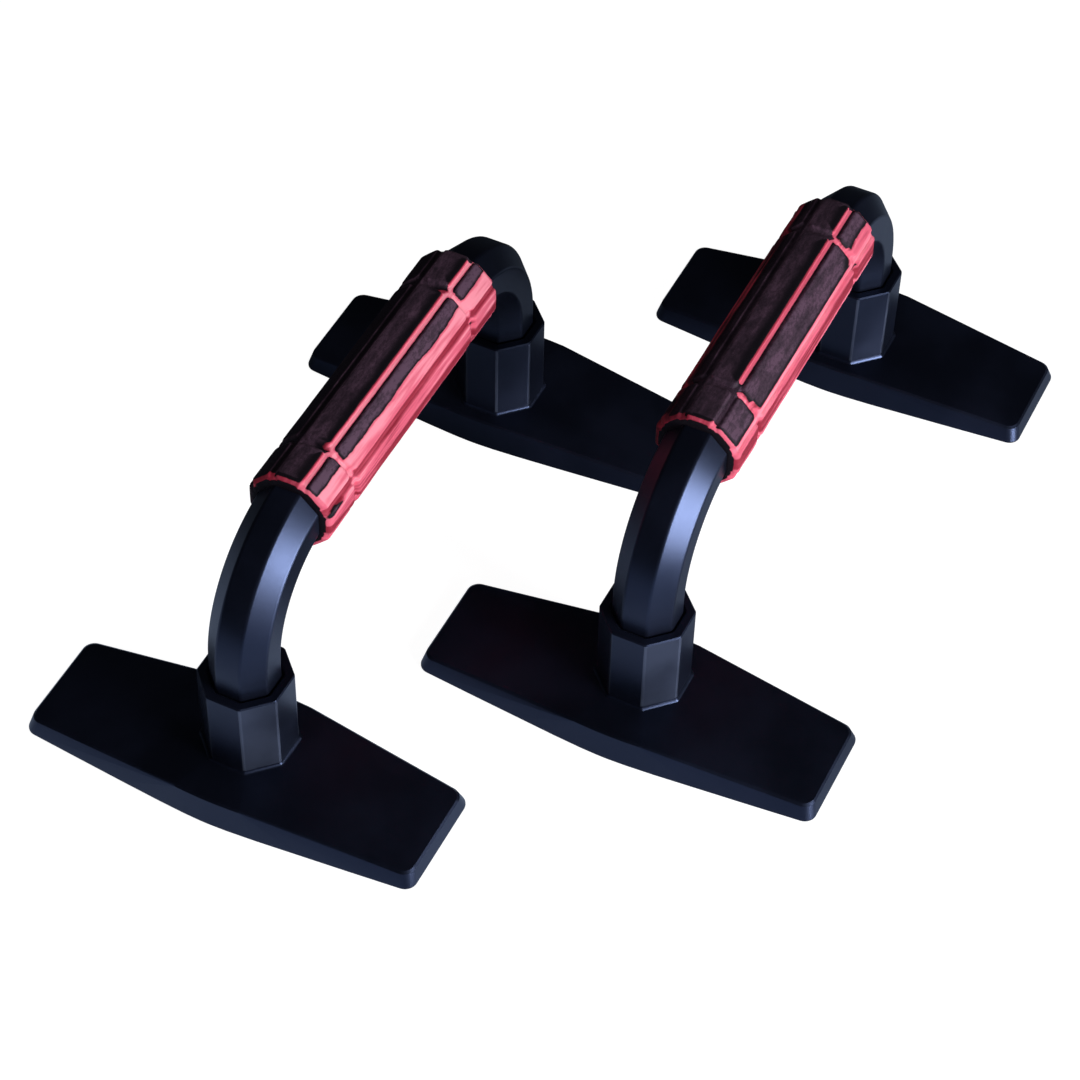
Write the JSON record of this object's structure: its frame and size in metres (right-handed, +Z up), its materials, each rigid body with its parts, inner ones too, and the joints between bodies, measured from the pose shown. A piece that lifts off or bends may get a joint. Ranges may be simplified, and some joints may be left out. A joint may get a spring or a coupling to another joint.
{
  "type": "parallette bar",
  "caption": "Low push-up stands with octagonal bent-tube handles, panelled foam grips and long feet on rubber pads.",
  "frame": {"origin": "On the floor, in the middle of the pair of stands", "axes": "+X along both handles towards the rear feet, +Y across from the right stand to the left stand, +Z up from the floor"},
  "size_m": [0.383, 0.2916, 0.1215],
  "materials": {
    "grip_foam": "closed-cell foam rubber, red mottled with black, raised panels with grooves between them",
    "core_steel": "plain drawn steel tube",
    "black_plastic": "moulded satin plastic, near black with a fine grain",
    "pad_rubber": "moulded rubber with a fine anti-slip relief"
  },
  "bodies": {
    "left_handle": {"left_grip": "grip_foam", "left_core_tube": "core_steel", "left_front_elbow": "black_plastic", "left_rear_elbow": "black_plastic"},
    "left_front_foot": {"left_front_foot": "black_plastic", "left_front_outer_pad": "pad_rubber", "left_front_inner_pad": "pad_rubber"},
    "left_rear_foot": {"left_rear_foot": "black_plastic", "left_rear_outer_pad": "pad_rubber", "left_rear_inner_pad": "pad_rubber"},
    "right_handle": {"right_grip": "grip_foam", "right_core_tube": "core_steel", "right_front_elbow": "black_plastic", "right_rear_elbow": "black_plastic"},
    "right_front_foot": {"right_front_foot": "black_plastic", "right_front_outer_pad": "pad_rubber", "right_front_inner_pad": "pad_rubber"},
    "right_rear_foot": {"right_rear_foot": "black_plastic", "right_rear_outer_pad": "pad_rubber", "right_rear_inner_pad": "pad_rubber"}
  },
  "joints": [
    {"name": "left_front_foot_pull", "type": "slide", "parent": "left_handle", "child": "left_front_foot", "axis": [0, 0, -1], "range_m": [0, 0.0435]},
    {"name": "left_rear_foot_pull", "type": "slide", "parent": "left_handle", "child": "left_rear_foot", "axis": [0, 0, -1], "range_m": [0, 0.0435]},
    {"name": "right_front_foot_pull", "type": "slide", "parent": "right_handle", "child": "right_front_foot", "axis": [0, 0, -1], "range_m": [0, 0.0435]},
    {"name": "right_rear_foot_pull", "type": "slide", "parent": "right_handle", "child": "right_rear_foot", "axis": [0, 0, -1], "range_m": [0, 0.0435]},
    {"name": "stand_spacing", "type": "slide", "parent": "left_handle", "child": "right_handle", "axis": [0, -1, 0], "range_m": [0, 0.35]}
  ]
}
